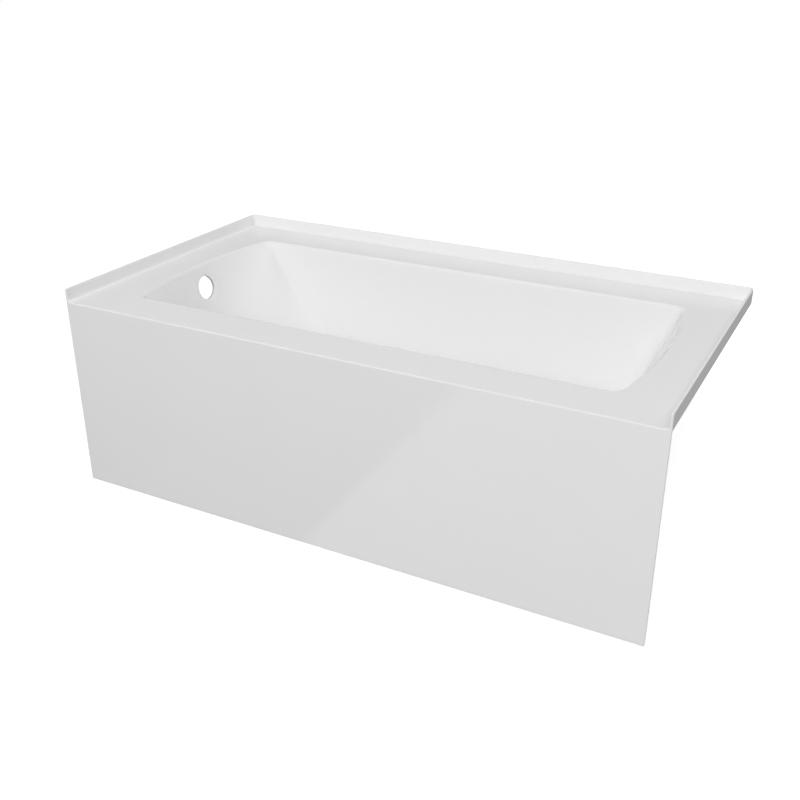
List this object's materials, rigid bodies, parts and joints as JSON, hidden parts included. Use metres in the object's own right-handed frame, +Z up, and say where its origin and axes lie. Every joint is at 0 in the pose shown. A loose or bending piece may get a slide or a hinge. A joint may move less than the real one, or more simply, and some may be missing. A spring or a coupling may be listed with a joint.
{
  "type": "alcove bathtub",
  "caption": "White acrylic alcove bathtub with a flat front apron, a tile flange on three sides, a sloping backrest, open waste and overflow holes, and levelling feet.",
  "frame": {"origin": "on the floor under the middle of the tub's length and depth", "axes": "+X along the tub from the drain end to the backrest end, +Y from the apron to the long wall behind it, +Z up"},
  "size_m": [1.524, 0.813, 0.5425],
  "materials": {
    "white_acrylic": "glossy white acrylic sheet",
    "glass_fibre": "rolled glass-fibre laminate with a chopped-strand texture, dull sheen",
    "chipboard": "flat resin-coated chipboard",
    "softwood": "planed softwood, unpainted",
    "zinc_steel": "bright zinc-plated steel",
    "yellow_zinc_screws": "yellow-passivated zinc-plated steel",
    "foot_plastic": "black moulded nylon"
  },
  "bodies": {
    "tub": {"acrylic_shell": "white_acrylic", "apron_base_rail": "softwood", "apron_laminate": "glass_fibre", "apron_panel": "white_acrylic", "apron_rib_1": "softwood", "apron_rib_2": "softwood", "apron_rib_3": "softwood", "apron_rib_4": "softwood", "base_board": "chipboard", "bearer_backrest_end": "softwood", "bearer_drain_end": "softwood", "bearer_middle": "softwood", "board_screws": "yellow_zinc_screws", "bracket_screws": "yellow_zinc_screws", "corner_brackets": "zinc_steel", "foot_nuts": "zinc_steel", "foot_plate_screws": "yellow_zinc_screws", "foot_plates": "zinc_steel", "glass_fibre_backing": "glass_fibre", "rim_rail_back": "softwood", "rim_rail_backrest_end": "softwood", "rim_rail_drain_end": "softwood", "rim_rail_front": "softwood"},
    "foot_front_drain_end": {"foot_stud_front_drain_end": "zinc_steel", "foot_pad_front_drain_end": "foot_plastic"},
    "foot_back_drain_end": {"foot_stud_back_drain_end": "zinc_steel", "foot_pad_back_drain_end": "foot_plastic"},
    "foot_front_middle": {"foot_stud_front_middle": "zinc_steel", "foot_pad_front_middle": "foot_plastic"},
    "foot_back_middle": {"foot_stud_back_middle": "zinc_steel", "foot_pad_back_middle": "foot_plastic"},
    "foot_front_backrest_end": {"foot_stud_front_backrest_end": "zinc_steel", "foot_pad_front_backrest_end": "foot_plastic"},
    "foot_back_backrest_end": {"foot_stud_back_backrest_end": "zinc_steel", "foot_pad_back_backrest_end": "foot_plastic"}
  },
  "joints": [
    {"name": "level_front_drain_end", "type": "slide", "parent": "tub", "child": "foot_front_drain_end", "axis": [0, 0, -1], "range_m": [0, 0.02]},
    {"name": "level_back_drain_end", "type": "slide", "parent": "tub", "child": "foot_back_drain_end", "axis": [0, 0, -1], "range_m": [0, 0.02]},
    {"name": "level_front_middle", "type": "slide", "parent": "tub", "child": "foot_front_middle", "axis": [0, 0, -1], "range_m": [0, 0.02]},
    {"name": "level_back_middle", "type": "slide", "parent": "tub", "child": "foot_back_middle", "axis": [0, 0, -1], "range_m": [0, 0.02]},
    {"name": "level_front_backrest_end", "type": "slide", "parent": "tub", "child": "foot_front_backrest_end", "axis": [0, 0, -1], "range_m": [0, 0.02]},
    {"name": "level_back_backrest_end", "type": "slide", "parent": "tub", "child": "foot_back_backrest_end", "axis": [0, 0, -1], "range_m": [0, 0.02]}
  ]
}
